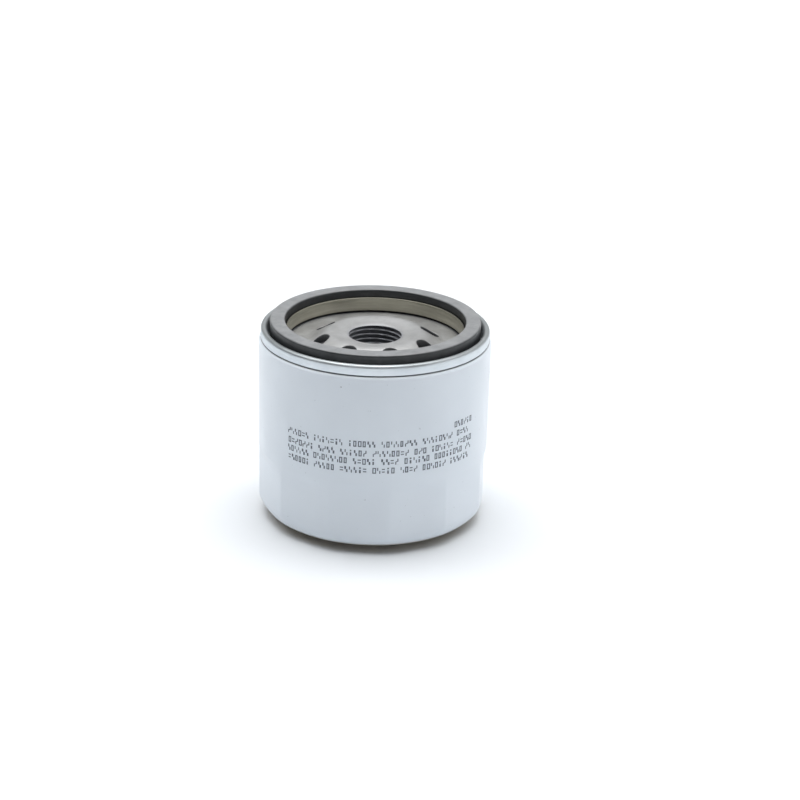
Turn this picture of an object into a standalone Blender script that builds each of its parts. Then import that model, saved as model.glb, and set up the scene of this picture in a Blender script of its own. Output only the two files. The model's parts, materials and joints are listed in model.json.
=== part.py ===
"""Short spin-on oil filter for a small engine, modelled as its separate pieces.

The filter stands on its closed end. Its axis is +Z, and the origin is the centre of the
surface that it stands on. All sizes are in metres and all angles are in degrees.
"""

import math

import bmesh
import bpy
from mathutils import Matrix

# Clearances
GAP = 0.0003                    # between pieces that rest on each other
SLIDE_GAP = 0.0004              # around pieces that slide on each other

# Can
TOTAL_HEIGHT = 0.0678           # closed end to the top of the gasket
SHELL_RADIUS = 0.0381
SHELL_WALL = 0.0005
CORNER_RADIUS = 0.006           # round edge of the closed end
END_RISE = 0.0018               # the round edge stands this much above the flat that the can rests on
END_SLOPE = 9.0
END_BLEND = 0.0015              # half width of the bend at the edge of the flat
SHOULDER_RADIUS = 0.00145       # the can draws in by this much under the seam
FLUTE_COUNT = 12
FLUTE_DEPTH = 0.0008
FLUTE_TOP = 0.0253
FLUTE_FADE = 0.004
FLUTE_PHASE = 9.0               # a ridge between two flutes, counted from the front

# Seaming lid, whose edge is rolled over the rim of the can
LID_WALL = 0.00055
SEAM_RADIUS = SHELL_RADIUS - SHOULDER_RADIUS + GAP + LID_WALL
SEAM_HEIGHT = 0.0034
LID_BEND = 0.0009               # outer radius of the lid's bends
LIP_DEPTH = 0.0027              # from the top of the gasket down to the lid's inner lip
RIM_DEPTH = 0.0005              # from the centre of the seam's crown down to the can's rim
COMPOUND_SIDE = 0.0004

# Gasket
GASKET_PROUD = 0.0024           # how far it stands above the seam
GASKET_HEIGHT = 0.0068
GASKET_WIDTH = 0.00505
GASKET_SIDE_GAP = 0.00075       # to the lid's outer wall
GASKET_EDGE = 0.0006

# Base plate with the threaded hub, 3/4-16 UNF
PLATE_THICKNESS = 0.0026
PLATE_EDGE_GAP = 0.0013         # from the plate's edge to the lid's outer wall, seen from above
HUB_RISE = 0.0035               # from the plate's flat up to the hub's crest
HUB_DISH = 0.0007               # from the hub's crest down to the mouth of the thread
HUB_MARGIN = 0.0028             # hub's crest beyond the collar
HUB_STEPS = 4
THREAD_MAJOR = 0.0095
THREAD_DEPTH = 0.0008
THREAD_PITCH = 0.0254 / 16
THREAD_STEPS = 5                # rows of points in each pitch
COLLAR_WALL = 0.0027
COLLAR_LENGTH = 0.0085
COLLAR_FILLET = 0.0008
INLET_COUNT = 8
INLET_RADIUS = 0.003
INLET_OFFSET = 0.0037           # hub's crest to the centres of the inlet holes
HUB_FOOT_OFFSET = 0.0045        # centres of the inlet holes to the foot of the hub
INLET_PHASE = 16.6              # an inlet hole, counted from the front

# Anti-drainback valve
VALVE_TRAVEL = 0.0012
VALVE_WALL = 0.0012
VALVE_SKIRT = 0.001
VALVE_OVERLAP = 0.004           # lip beyond the inlet holes
VALVE_LIP = 0.0016              # width of the lip's flat
VALVE_DROP = 0.0009             # sleeve below the threaded collar
VALVE_RISE = 0.0015             # sleeve above the end of the threaded collar

# Filter element
CAP_WALL = 0.0005
CAP_RIM = 0.003
NECK_WALL_OFFSET = 0.0002       # the neck is this much slimmer than the threaded collar
ELEMENT_CLEARANCE = 0.0048      # oil space between the element and the can
ADHESIVE = 0.0008
TUBE_WALL = 0.0006
TUBE_MARGIN = 0.001             # tube's bore beyond the neck
TUBE_HOLE_RADIUS = 0.0019
TUBE_HOLE_COLUMNS = 8
TUBE_HOLE_ROWS = 4
PLEAT_COUNT = 36
PAPER_THICKNESS = 0.0006
PLEAT_OUTER_HALF = 0.0006       # half width of a fold at the outside
PLEAT_INNER_HALF = 0.0005       # half width of a fold at the inside
MEDIA_GAP = 0.0005              # around the tube and inside the caps' rims
CLIP_WALL = 0.0004
CLIP_LEG = 0.0035

# Element spring and its cup
FLOAT_TRAVEL = 0.003
COIL_HEIGHT = 0.0095
COIL_WIRE = 0.0009              # radius of the wire
COIL_BOTTOM_RADIUS = 0.015
COIL_TOP_RADIUS = 0.013
COIL_TURNS = 2.5
CUP_WALL = 0.0005
CUP_RIM = 0.0015
CUP_BORE = 0.0096

# Bypass valve in the element's closed end
BYPASS_TRAVEL = 0.003
PORT_RADIUS = 0.005
SEAT_WALL = 0.0006
SEAT_LIP_HEIGHT = 0.0006
SEAT_LIP_WIDTH = 0.0008
SPIGOT_OFFSET = 0.002           # port to the inside of the spigot that holds the end cap
SPIGOT_WALL = 0.0007
SPIGOT_DEPTH = 0.0005           # spigot below the end cap
SEAL_THICKNESS = 0.001
SEAL_OVERLAP = 0.0012           # seal and poppet beyond the seat's lip
POPPET_DISC = 0.0008
POPPET_NOSE = 0.0015
POPPET_STEM = 0.0013
STEM_PROUD = 0.0015             # stem above the cage at rest
CAGE_WALL = 0.0005
CAGE_SIDE_GAP = 0.0015
CAGE_WINDOWS = 4
CAGE_WINDOW_WIDTH = 0.006
CAGE_WINDOW_HEIGHT = 0.006
BYPASS_COIL_HEIGHT = 0.0085
BYPASS_WIRE = 0.00045
BYPASS_COIL_RADIUS = 0.0042
BYPASS_TURNS = 4.5

# Fineness of the turned pieces
SHELL_SEGMENTS = 4 * FLUTE_COUNT
LID_SEGMENTS = 40
ELEMENT_SEGMENTS = 32
SMALL_SEGMENTS = 24
SHARP_ANGLE = math.radians(35)

# Heights and radii that follow from the sizes above
NECK_RADIUS = SHELL_RADIUS - SHOULDER_RADIUS
CHUCK_OUTER = NECK_RADIUS - SHELL_WALL - GAP
CHUCK_INNER = CHUCK_OUTER - LID_WALL
SEAM_INNER = SEAM_RADIUS - LID_WALL
CROWN_RADIUS = (SEAM_RADIUS + CHUCK_INNER) / 2
CROWN_Z = TOTAL_HEIGHT - GASKET_PROUD - (SEAM_RADIUS - CHUCK_INNER) / 2
SEAM_BOTTOM = TOTAL_HEIGHT - GASKET_PROUD - SEAM_HEIGHT
RIM_Z = CROWN_Z - RIM_DEPTH
SHOULDER_TOP = SEAM_BOTTOM - GAP / 2

GASKET_OUTER = CHUCK_INNER - GASKET_SIDE_GAP
GASKET_INNER = GASKET_OUTER - GASKET_WIDTH
GASKET_BOTTOM = TOTAL_HEIGHT - GASKET_HEIGHT
LID_LIP_Z = TOTAL_HEIGHT - LIP_DEPTH
LID_LIP_OUTER = GASKET_INNER - GAP
LID_LIP_INNER = LID_LIP_OUTER - LID_WALL
LID_FLOOR_TOP = GASKET_BOTTOM - GAP
LID_FLOOR_BOTTOM = LID_FLOOR_TOP - LID_WALL

PLATE_TOP = LID_FLOOR_BOTTOM - GAP
PLATE_BOTTOM = PLATE_TOP - PLATE_THICKNESS
PLATE_RADIUS = CHUCK_OUTER - PLATE_EDGE_GAP
HUB_TOP = PLATE_TOP + HUB_RISE
HUB_UNDER = HUB_TOP - PLATE_THICKNESS
MOUTH_TOP = HUB_TOP - HUB_DISH
THREAD_MINOR = THREAD_MAJOR - THREAD_DEPTH
COLLAR_RADIUS = THREAD_MAJOR + COLLAR_WALL
COLLAR_BOTTOM = MOUTH_TOP - COLLAR_LENGTH
HUB_CREST = COLLAR_RADIUS + HUB_MARGIN
INLET_PITCH_RADIUS = HUB_CREST + INLET_OFFSET
HUB_FOOT = INLET_PITCH_RADIUS + HUB_FOOT_OFFSET

VALVE_INNER = COLLAR_RADIUS + SLIDE_GAP
VALVE_SLEEVE = VALVE_INNER + VALVE_WALL
VALVE_RADIUS = INLET_PITCH_RADIUS + INLET_RADIUS + VALVE_OVERLAP
VALVE_TOP = PLATE_BOTTOM - GAP
VALVE_BOTTOM = COLLAR_BOTTOM - VALVE_DROP
VALVE_SLEEVE_TOP = COLLAR_BOTTOM + VALVE_RISE

NECK_OUTER = COLLAR_RADIUS - NECK_WALL_OFFSET
NECK_INNER = NECK_OUTER - CAP_WALL
NECK_TOP = COLLAR_BOTTOM - GAP
TOP_CAP_Z = VALVE_BOTTOM - VALVE_TRAVEL - GAP
TOP_CAP_UNDER = TOP_CAP_Z - CAP_WALL
CAP_RADIUS = SHELL_RADIUS - SHELL_WALL - FLUTE_DEPTH - ELEMENT_CLEARANCE

COIL_BOTTOM = SHELL_WALL + GAP
COIL_TOP = COIL_BOTTOM + COIL_HEIGHT
CUP_BOTTOM = COIL_TOP + GAP
CUP_TOP = CUP_BOTTOM + CUP_WALL
BOTTOM_CAP_UNDER = CUP_TOP + GAP
BOTTOM_CAP_TOP = BOTTOM_CAP_UNDER + CAP_WALL

TUBE_INNER = NECK_OUTER + TUBE_MARGIN
TUBE_OUTER = TUBE_INNER + TUBE_WALL
TUBE_BOTTOM = BOTTOM_CAP_TOP + GAP
TUBE_TOP = TOP_CAP_UNDER - GAP
MEDIA_INNER = TUBE_OUTER + MEDIA_GAP
MEDIA_OUTER = CAP_RADIUS - CAP_WALL - MEDIA_GAP
MEDIA_BOTTOM = TUBE_BOTTOM + ADHESIVE + GAP
MEDIA_TOP = TUBE_TOP - ADHESIVE - GAP

SEAT_RADIUS = TUBE_INNER - 2 * SLIDE_GAP
SEAT_BOTTOM = BOTTOM_CAP_TOP + GAP
SEAT_TOP = SEAT_BOTTOM + SEAT_WALL
SEAT_LIP_Z = SEAT_TOP + SEAT_LIP_HEIGHT
SPIGOT_INNER = PORT_RADIUS + SPIGOT_OFFSET
SPIGOT_OUTER = SPIGOT_INNER + SPIGOT_WALL
SEAL_RADIUS = PORT_RADIUS + SEAT_LIP_WIDTH + SEAL_OVERLAP
SEAL_BOTTOM = SEAT_LIP_Z + GAP
SEAL_TOP = SEAL_BOTTOM + SEAL_THICKNESS
POPPET_BOTTOM = SEAL_TOP + GAP
POPPET_TOP = POPPET_BOTTOM + POPPET_DISC
BYPASS_COIL_BOTTOM = POPPET_TOP + GAP
BYPASS_COIL_TOP = BYPASS_COIL_BOTTOM + BYPASS_COIL_HEIGHT
CAGE_UNDER = BYPASS_COIL_TOP + GAP
CAGE_TOP = CAGE_UNDER + CAGE_WALL
CAGE_INNER = SEAL_RADIUS + CAGE_SIDE_GAP
CAGE_OUTER = CAGE_INNER + CAGE_WALL
CAGE_FOOT = SEAT_TOP + GAP


def clear_scene():
    """Removes what a new file holds."""
    for obj in list(bpy.data.objects):
        bpy.data.objects.remove(obj)


def material(name, color, roughness, metallic=0.0):
    """A Principled BSDF material."""
    mat = bpy.data.materials.new(name)
    mat.use_nodes = True
    shader = mat.node_tree.nodes["Principled BSDF"]
    shader.inputs["Base Color"].default_value = (*color, 1.0)
    shader.inputs["Roughness"].default_value = roughness
    shader.inputs["Metallic"].default_value = metallic
    mat.diffuse_color = (*color, 1.0)
    return mat


def arc(center_r, center_z, radius, start, end, steps):
    """Points along an arc in the radius-height plane, both ends included."""
    points = []
    for step in range(steps + 1):
        angle = math.radians(start + (end - start) * step / steps)
        points.append((center_r + radius * math.cos(angle), center_z + radius * math.sin(angle)))
    return points


def axis_empty(name, height, parent=None):
    """An empty on the filter's axis, which the pieces of one moving group hang from."""
    empty = bpy.data.objects.new(name, None)
    bpy.context.scene.collection.objects.link(empty)
    empty.empty_display_size = 0.01
    empty.parent = parent
    parent_height = parent.matrix_world.translation.z if parent else 0.0
    empty.location = (0.0, 0.0, height - parent_height)
    bpy.context.view_layer.update()
    return empty


def add_object(name, mesh, mat, height, parent):
    """An object whose mesh, built at its place in the filter, gets its origin at height on the axis."""
    mesh.transform(Matrix.Translation((0.0, 0.0, -height)))
    mesh.materials.append(mat)
    obj = bpy.data.objects.new(name, mesh)
    bpy.context.scene.collection.objects.link(obj)
    obj.parent = parent
    parent_height = parent.matrix_world.translation.z if parent else 0.0
    obj.location = (0.0, 0.0, height - parent_height)
    bpy.context.view_layer.update()
    return obj


def finish_mesh(name, work):
    """Turns a bmesh into a mesh with its faces pointing out and its round faces smooth."""
    bmesh.ops.recalc_face_normals(work, faces=work.faces)
    mesh = bpy.data.meshes.new(name)
    work.to_mesh(mesh)
    work.free()
    mesh.shade_smooth()
    mesh.set_sharp_from_angle(angle=SHARP_ANGLE)
    return mesh


def spun(profile, segments, phase=0.0):
    """A bmesh turned from a closed profile of (radius, height) points. Phase counts from the front."""
    work = bmesh.new()
    verts = [work.verts.new((radius, 0.0, height)) for radius, height in profile]
    edges = []
    for index, vert in enumerate(verts):
        following = verts[(index + 1) % len(verts)]
        if vert.co.x > 0.0 or following.co.x > 0.0:
            edges.append(work.edges.new((vert, following)))
    bmesh.ops.rotate(work, verts=verts, matrix=Matrix.Rotation(math.radians(phase - 90.0), 3, "Z"))
    bmesh.ops.spin(work, geom=verts + edges, axis=(0.0, 0.0, 1.0), cent=(0.0, 0.0, 0.0),
                   angle=math.tau, steps=segments, use_merge=True)
    bmesh.ops.remove_doubles(work, verts=work.verts, dist=1e-7)
    return work


def turned(name, profile, mat, parent, segments=ELEMENT_SEGMENTS):
    """A turned piece with its origin on the axis, at its lowest point."""
    lowest = min(height for _, height in profile)
    return add_object(name, finish_mesh(name, spun(profile, segments)), mat, lowest, parent)


def prism(name, outer, inner, low, high, mat, parent):
    """An upright piece between an outer outline and, where there is one, an inner outline of as many points."""
    work = bmesh.new()
    loops = []
    for outline in (outer, inner) if inner else (outer,):
        for height in (low, high):
            loops.append([work.verts.new((x, y, height)) for x, y in outline])
    count = len(outer)
    for index in range(count):
        after = (index + 1) % count
        work.faces.new((loops[0][index], loops[0][after], loops[1][after], loops[1][index]))
        if inner:
            work.faces.new((loops[2][index], loops[2][after], loops[3][after], loops[3][index]))
            work.faces.new((loops[0][index], loops[0][after], loops[2][after], loops[2][index]))
            work.faces.new((loops[1][index], loops[1][after], loops[3][after], loops[3][index]))
    if not inner:
        work.faces.new(loops[0])
        work.faces.new(loops[1])
    return add_object(name, finish_mesh(name, work), mat, low, parent)


def coil(name, low, high, wire, bottom_radius, top_radius, turns, mat, parent):
    """A coil spring between two heights, with its wire's ends capped."""
    curve = bpy.data.curves.new(name, "CURVE")
    curve.dimensions = "3D"
    curve.bevel_depth = wire
    curve.bevel_resolution = 1
    curve.use_fill_caps = True
    steps = round(turns * 14)
    spline = curve.splines.new("POLY")
    spline.points.add(steps)
    for index, point in enumerate(spline.points):
        share = index / steps
        angle = math.tau * turns * share
        radius = bottom_radius + (top_radius - bottom_radius) * share
        height = wire + (high - low - 2.0 * wire) * share
        point.co = (radius * math.cos(angle), radius * math.sin(angle), height, 1.0)
    curve.materials.append(mat)
    obj = bpy.data.objects.new(name, curve)
    bpy.context.scene.collection.objects.link(obj)
    obj.parent = parent
    parent_height = parent.matrix_world.translation.z if parent else 0.0
    obj.location = (0.0, 0.0, low - parent_height)
    return obj


def cut(obj, cutter_name, work):
    """Cuts the shapes in a bmesh out of obj. The cutter isn't a piece of the filter."""
    mesh = finish_mesh(cutter_name, work)
    cutter = bpy.data.objects.new(cutter_name, mesh)
    bpy.context.scene.collection.objects.link(cutter)
    cutter.hide_render = True
    cutter.display_type = "WIRE"
    boolean = obj.modifiers.new(cutter_name, "BOOLEAN")
    boolean.operation = "DIFFERENCE"
    boolean.object = cutter


def closed_end(offset, steps):
    """The closed end's surface, this far inside the outer one, from the axis to the top of the round edge."""
    corner = SHELL_RADIUS - CORNER_RADIUS
    slope = math.radians(END_SLOPE)
    radius = CORNER_RADIUS - offset
    low = END_RISE + CORNER_RADIUS - radius * math.cos(slope)
    edge = corner + radius * math.sin(slope) - (low - offset) / math.tan(slope)
    points = [(0.0, offset), (edge - END_BLEND, offset), (edge, offset + END_BLEND * math.tan(slope) / 4),
              (edge + END_BLEND, offset + END_BLEND * math.tan(slope))]
    return points + arc(corner, END_RISE + CORNER_RADIUS, radius, END_SLOPE - 90.0, 0.0, steps)


def flute_depth(angle, height):
    """How far the can is pressed in at this angle from the front, in degrees, and height."""
    pitch = 360.0 / FLUTE_COUNT
    across = (angle - FLUTE_PHASE) % pitch / pitch
    rise = min(1.0, max(0.0, (height - END_RISE) / CORNER_RADIUS))
    fade = min(1.0, max(0.0, (FLUTE_TOP - height) / FLUTE_FADE))
    return FLUTE_DEPTH * math.sin(math.pi * across) * rise * fade


def make_shell(mat, parent):
    """The drawn can: slightly convex closed end, round edge, fluted wall, shoulder and rim."""
    corner = SHELL_RADIUS - CORNER_RADIUS
    shoulder = SHOULDER_TOP - SHOULDER_RADIUS
    wall_rows = (FLUTE_TOP / 2, FLUTE_TOP - FLUTE_FADE, FLUTE_TOP)
    outside = closed_end(0.0, 4)
    outside += [(SHELL_RADIUS, row) for row in wall_rows]
    outside += arc(NECK_RADIUS, shoulder, SHOULDER_RADIUS, 0.0, 90.0, 3)
    outside += [(NECK_RADIUS, RIM_Z)]
    inside = [(NECK_RADIUS - SHELL_WALL, RIM_Z), (NECK_RADIUS - SHELL_WALL, SHOULDER_TOP - SHELL_WALL)]
    inside += arc(NECK_RADIUS, shoulder, SHOULDER_RADIUS - SHELL_WALL, 90.0, 0.0, 2)
    inside += [(SHELL_RADIUS - SHELL_WALL, row) for row in reversed(wall_rows)]
    inside += closed_end(SHELL_WALL, 3)[::-1]
    work = spun(outside + inside, SHELL_SEGMENTS, FLUTE_PHASE)
    for vert in work.verts:
        radius = math.hypot(vert.co.x, vert.co.y)
        if radius > corner:
            angle = math.degrees(math.atan2(vert.co.x, -vert.co.y))
            scale = 1.0 - flute_depth(angle, vert.co.z) / radius
            vert.co.x *= scale
            vert.co.y *= scale
    return add_object("shell", finish_mesh("shell", work), mat, 0.0, parent)


def make_lid(mat, parent):
    """The seaming lid: inner lip, gasket groove, chuck wall and the edge rolled over the can's rim."""
    crown = (SEAM_INNER - CHUCK_OUTER) / 2
    inner_bend = LID_LIP_INNER + LID_BEND
    outer_bend = CHUCK_OUTER - LID_BEND
    bend_z = LID_FLOOR_BOTTOM + LID_BEND
    profile = [(LID_LIP_INNER, LID_LIP_Z)]
    profile += arc(inner_bend, bend_z, LID_BEND, 180.0, 270.0, 2)
    profile += arc(outer_bend, bend_z, LID_BEND, 270.0, 360.0, 2)
    profile += arc(CROWN_RADIUS, CROWN_Z, crown, 180.0, 0.0, 3)
    profile += [(SEAM_INNER, SEAM_BOTTOM), (SEAM_RADIUS, SEAM_BOTTOM)]
    profile += arc(CROWN_RADIUS, CROWN_Z, crown + LID_WALL, 0.0, 180.0, 4)
    profile += arc(outer_bend, bend_z, LID_BEND - LID_WALL, 360.0, 270.0, 2)
    profile += arc(inner_bend, bend_z, LID_BEND - LID_WALL, 270.0, 180.0, 2)
    profile += [(LID_LIP_OUTER, LID_LIP_Z)]
    return turned("seaming_lid", profile, mat, parent, LID_SEGMENTS)


def make_seam_compound(mat, parent):
    """The bead of sealing compound between the can's rim and the lid's rolled edge."""
    low = RIM_Z + GAP
    half = COMPOUND_SIDE / 2
    profile = [(CROWN_RADIUS - half, low), (CROWN_RADIUS + half, low),
               (CROWN_RADIUS + half, low + COMPOUND_SIDE), (CROWN_RADIUS - half, low + COMPOUND_SIDE)]
    return turned("seam_compound", profile, mat, parent, LID_SEGMENTS)


def make_gasket(mat, parent):
    """The square-cut sealing ring, with its upper edges rounded."""
    edge_z = TOTAL_HEIGHT - GASKET_EDGE
    profile = [(GASKET_INNER, GASKET_BOTTOM), (GASKET_OUTER, GASKET_BOTTOM)]
    profile += arc(GASKET_OUTER - GASKET_EDGE, edge_z, GASKET_EDGE, 0.0, 90.0, 2)
    profile += arc(GASKET_INNER + GASKET_EDGE, edge_z, GASKET_EDGE, 90.0, 180.0, 2)
    return turned("gasket", profile, mat, parent, LID_SEGMENTS)


def thread_cut(angle, height, low, high):
    """Depth of the right-hand thread below its crest at this angle, in turns, and height."""
    phase = (height / THREAD_PITCH - angle) % 1.0
    groove = min(1.0, max(0.0, 1.6 - 4.0 * abs(phase - 0.5)))
    run_out = min(1.0, (height - low) / THREAD_PITCH, (high - height) / THREAD_PITCH)
    return THREAD_DEPTH * groove * max(0.0, run_out)


def hub_slope(drop):
    """The hub's outer slope, this far below the plate's upper surface, as points from the crest to the foot."""
    points = []
    for step in range(HUB_STEPS + 1):
        share = step / HUB_STEPS
        points.append((HUB_CREST + (HUB_FOOT - HUB_CREST) * share,
                       HUB_TOP - HUB_RISE * share * share * (3.0 - 2.0 * share) - drop))
    return points


def make_base_plate(mat, parent):
    """The thick plate: raised hub with the threaded collar, and the ring of inlet holes."""
    bore_top = MOUTH_TOP - THREAD_DEPTH / 2
    bore_bottom = COLLAR_BOTTOM + THREAD_DEPTH / 2
    rows = round((bore_top - bore_bottom) / THREAD_PITCH * THREAD_STEPS)
    bore = [(THREAD_MINOR, bore_top + (bore_bottom - bore_top) * row / rows) for row in range(rows + 1)]
    profile = hub_slope(0.0)[::-1] + [(THREAD_MAJOR + HUB_DISH, MOUTH_TOP), (THREAD_MAJOR, MOUTH_TOP)]
    profile += bore
    profile += [(THREAD_MINOR + THREAD_DEPTH / 2, COLLAR_BOTTOM), (COLLAR_RADIUS, COLLAR_BOTTOM),
                (COLLAR_RADIUS, HUB_UNDER - COLLAR_FILLET), (COLLAR_RADIUS + COLLAR_FILLET, HUB_UNDER)]
    profile += hub_slope(PLATE_THICKNESS)
    profile += [(PLATE_RADIUS, PLATE_BOTTOM), (PLATE_RADIUS, PLATE_TOP)]
    work = spun(profile, LID_SEGMENTS)
    for vert in work.verts:
        radius = math.hypot(vert.co.x, vert.co.y)
        if abs(radius - THREAD_MINOR) < GAP / 10:
            turns = math.atan2(vert.co.y, vert.co.x) / math.tau
            scale = 1.0 + thread_cut(turns, vert.co.z, bore_bottom, bore_top) / radius
            vert.co.x *= scale
            vert.co.y *= scale
    plate = add_object("base_plate", finish_mesh("base_plate", work), mat, COLLAR_BOTTOM, parent)

    holes = bmesh.new()
    for index in range(INLET_COUNT):
        angle = math.radians(INLET_PHASE + 360.0 * index / INLET_COUNT)
        place = (INLET_PITCH_RADIUS * math.sin(angle), -INLET_PITCH_RADIUS * math.cos(angle),
                 (HUB_TOP + PLATE_BOTTOM) / 2)
        bmesh.ops.create_cone(holes, cap_ends=True, segments=12, radius1=INLET_RADIUS, radius2=INLET_RADIUS,
                              depth=2 * (HUB_TOP - PLATE_BOTTOM), matrix=Matrix.Translation(place))
    cut(plate, "inlet_holes", holes)
    return plate


def make_drainback_valve(mat, parent):
    """The rubber valve: a sleeve around the threaded collar and a skirt that covers the inlet holes."""
    profile = [
        (VALVE_INNER, VALVE_BOTTOM), (VALVE_SLEEVE, VALVE_BOTTOM),
        (VALVE_SLEEVE, VALVE_SLEEVE_TOP - VALVE_SKIRT),
        (VALVE_RADIUS, VALVE_TOP - VALVE_SKIRT), (VALVE_RADIUS, VALVE_TOP),
        (VALVE_RADIUS - VALVE_LIP, VALVE_TOP), (VALVE_SLEEVE, VALVE_SLEEVE_TOP),
        (VALVE_INNER, VALVE_SLEEVE_TOP),
    ]
    return turned("anti_drainback_valve", profile, mat, parent)


def make_caps(mat, parent):
    """The element's two end caps. The top one has the neck that the valve's sleeve goes over."""
    rim = CAP_RADIUS - CAP_WALL
    top = [
        (NECK_INNER, NECK_TOP), (NECK_INNER, TOP_CAP_UNDER), (rim, TOP_CAP_UNDER),
        (rim, TOP_CAP_Z - CAP_RIM), (CAP_RADIUS, TOP_CAP_Z - CAP_RIM),
        (CAP_RADIUS, TOP_CAP_Z), (NECK_OUTER, TOP_CAP_Z), (NECK_OUTER, NECK_TOP),
    ]
    bore = SPIGOT_OUTER + GAP
    bottom = [
        (bore, BOTTOM_CAP_UNDER), (CAP_RADIUS, BOTTOM_CAP_UNDER),
        (CAP_RADIUS, BOTTOM_CAP_UNDER + CAP_RIM), (rim, BOTTOM_CAP_UNDER + CAP_RIM),
        (rim, BOTTOM_CAP_TOP), (bore, BOTTOM_CAP_TOP),
    ]
    turned("element_top_cap", top, mat, parent)
    turned("element_bottom_cap", bottom, mat, parent)


def make_adhesive(mat, parent):
    """The two rings of adhesive that bond the pleated paper to the end caps."""
    inner = TUBE_OUTER + GAP
    outer = CAP_RADIUS - CAP_WALL - GAP
    for name, low in (("top_adhesive", TUBE_TOP - ADHESIVE), ("bottom_adhesive", TUBE_BOTTOM)):
        profile = [(inner, low), (outer, low), (outer, low + ADHESIVE), (inner, low + ADHESIVE)]
        turned(name, profile, mat, parent)


def make_center_tube(mat, parent):
    """The perforated tube that holds the paper against the pressure of the oil."""
    profile = [(TUBE_INNER, TUBE_BOTTOM), (TUBE_OUTER, TUBE_BOTTOM),
               (TUBE_OUTER, TUBE_TOP), (TUBE_INNER, TUBE_TOP)]
    tube = turned("center_tube", profile, mat, parent)
    work = bmesh.new()
    spacing = (TUBE_TOP - TUBE_BOTTOM) / (TUBE_HOLE_ROWS + 1)
    for row in range(TUBE_HOLE_ROWS):
        for column in range(TUBE_HOLE_COLUMNS):
            turn = Matrix.Rotation(math.tau * (column + row % 2 / 2) / TUBE_HOLE_COLUMNS, 4, "Z")
            place = Matrix.Translation((TUBE_INNER, 0.0, TUBE_BOTTOM + spacing * (row + 1)))
            bmesh.ops.create_cone(work, cap_ends=True, segments=8,
                                  radius1=TUBE_HOLE_RADIUS, radius2=TUBE_HOLE_RADIUS, depth=8 * TUBE_WALL,
                                  matrix=turn @ place @ Matrix.Rotation(math.pi / 2, 4, "Y"))
    cut(tube, "tube_holes", work)


def pleat_line(offset):
    """The closed outline of the pleated paper, offset from its middle surface, as (x, y) points."""
    middle = []
    for pleat in range(PLEAT_COUNT):
        for radius, half, turn in ((MEDIA_OUTER - PAPER_THICKNESS / 2, PLEAT_OUTER_HALF, 0.0),
                                   (MEDIA_INNER + PAPER_THICKNESS / 2, PLEAT_INNER_HALF, 0.5)):
            angle = math.tau * (pleat + turn) / PLEAT_COUNT
            for side in (-half, half):
                middle.append((radius * math.cos(angle) - side * math.sin(angle),
                               radius * math.sin(angle) + side * math.cos(angle)))
    outline = []
    count = len(middle)
    for index, (x, y) in enumerate(middle):
        before = middle[index - 1]
        after = middle[(index + 1) % count]
        first = math.atan2(y - before[1], x - before[0])
        second = math.atan2(after[1] - y, after[0] - x)
        half_turn = (second - first + math.pi) % math.tau / 2 - math.pi / 2
        reach = offset / math.cos(half_turn)
        direction = first + half_turn - math.pi / 2
        outline.append((x + reach * math.cos(direction), y + reach * math.sin(direction)))
    return outline


def make_media(mat, clip_mat, parent):
    """The pleated paper, and the metal clip that joins the two ends of the strip at one fold."""
    half_paper = PAPER_THICKNESS / 2
    prism("pleated_media", pleat_line(half_paper), pleat_line(-half_paper), MEDIA_BOTTOM, MEDIA_TOP, mat, parent)
    inside = PLEAT_OUTER_HALF + half_paper + GAP
    outside = inside + CLIP_WALL
    crown = MEDIA_OUTER + GAP
    leg = MEDIA_OUTER - CLIP_LEG
    outline = [(leg, -outside), (crown + CLIP_WALL, -outside), (crown + CLIP_WALL, outside), (leg, outside),
               (leg, inside), (crown, inside), (crown, -inside), (leg, -inside)]
    prism("media_clip", outline, None, BOTTOM_CAP_UNDER + CAP_RIM + GAP, TOP_CAP_Z - CAP_RIM - GAP,
          clip_mat, parent)


def make_element_spring(mat, cup_mat, parent, element):
    """The spring that presses the element up against the base plate, and the cup that centres it."""
    coil("element_spring", COIL_BOTTOM, COIL_TOP, COIL_WIRE, COIL_BOTTOM_RADIUS, COIL_TOP_RADIUS, COIL_TURNS,
         mat, parent)
    inner = COIL_TOP_RADIUS + COIL_WIRE + 2 * SLIDE_GAP
    outer = inner + CUP_WALL
    profile = [(CUP_BORE, CUP_BOTTOM), (inner, CUP_BOTTOM), (inner, CUP_BOTTOM - CUP_RIM),
               (outer, CUP_BOTTOM - CUP_RIM), (outer, CUP_TOP), (CUP_BORE, CUP_TOP)]
    turned("spring_cup", profile, cup_mat, element, SMALL_SEGMENTS)


def make_bypass_seat(mat, parent):
    """The seat in the element's closed end, staked through the bottom cap."""
    spigot_bottom = BOTTOM_CAP_UNDER - SPIGOT_DEPTH
    lip = PORT_RADIUS + SEAT_LIP_WIDTH
    profile = [
        (PORT_RADIUS, SEAT_LIP_Z), (PORT_RADIUS, SEAT_BOTTOM), (SPIGOT_INNER, SEAT_BOTTOM),
        (SPIGOT_INNER, spigot_bottom), (SPIGOT_OUTER, spigot_bottom), (SPIGOT_OUTER, SEAT_BOTTOM),
        (SEAT_RADIUS, SEAT_BOTTOM), (SEAT_RADIUS, SEAT_TOP), (lip, SEAT_TOP), (lip, SEAT_LIP_Z),
    ]
    turned("bypass_seat", profile, mat, parent, SMALL_SEGMENTS)


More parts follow.
